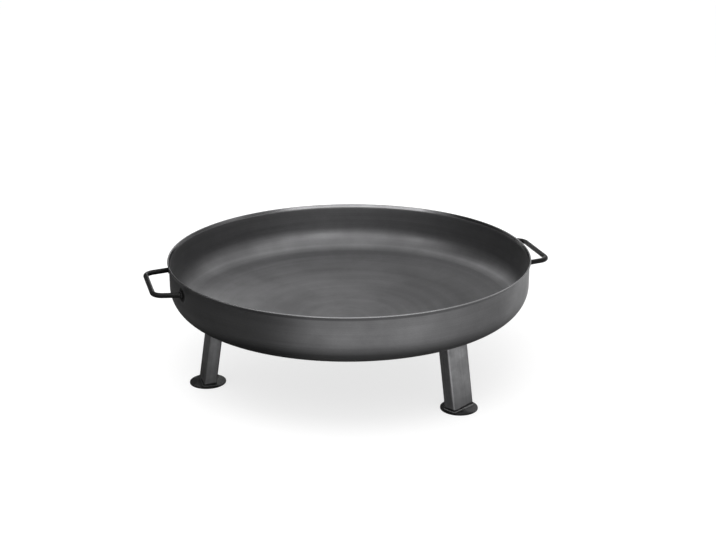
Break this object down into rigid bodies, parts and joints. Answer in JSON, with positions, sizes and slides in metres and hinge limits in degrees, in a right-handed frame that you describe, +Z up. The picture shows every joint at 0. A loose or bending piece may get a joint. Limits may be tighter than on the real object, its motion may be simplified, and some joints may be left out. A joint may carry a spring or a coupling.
{
  "type": "fire bowl",
  "caption": "Round dished steel fire bowl with a turned-out lip, on splayed rectangular tube legs with round foot plates, with a bent bar handle at each side.",
  "frame": {"origin": "on the ground under the bowl's vertical axis", "axes": "+Z up along the bowl's axis; X through the two handles, with one leg under the handle at -X; the other legs stand 60 degrees each side of +X"},
  "size_m": [0.898, 0.7996, 0.2698],
  "materials": {
    "bowl_steel": "raw spun steel, oiled, dark grey satin with faint concentric marks",
    "leg_steel": "raw mill steel tube, satin grey",
    "black_paint": "gloss black heat paint",
    "burnt_weld": "rippled weld bead with burnt dark scale"
  },
  "bodies": {
    "root": {"bowl": "bowl_steel", "leg_left": "leg_steel", "leg_front": "leg_steel", "leg_rear": "leg_steel", "foot_plate_left": "black_paint", "foot_plate_front": "black_paint", "foot_plate_rear": "black_paint", "handle_left": "black_paint", "handle_right": "black_paint", "leg_weld_left": "burnt_weld", "leg_weld_front": "burnt_weld", "leg_weld_rear": "burnt_weld", "foot_weld_left": "black_paint", "foot_weld_front": "black_paint", "foot_weld_rear": "black_paint", "handle_weld_left_front": "black_paint", "handle_weld_left_rear": "black_paint", "handle_weld_right_front": "black_paint", "handle_weld_right_rear": "black_paint"}
  },
  "joints": []
}
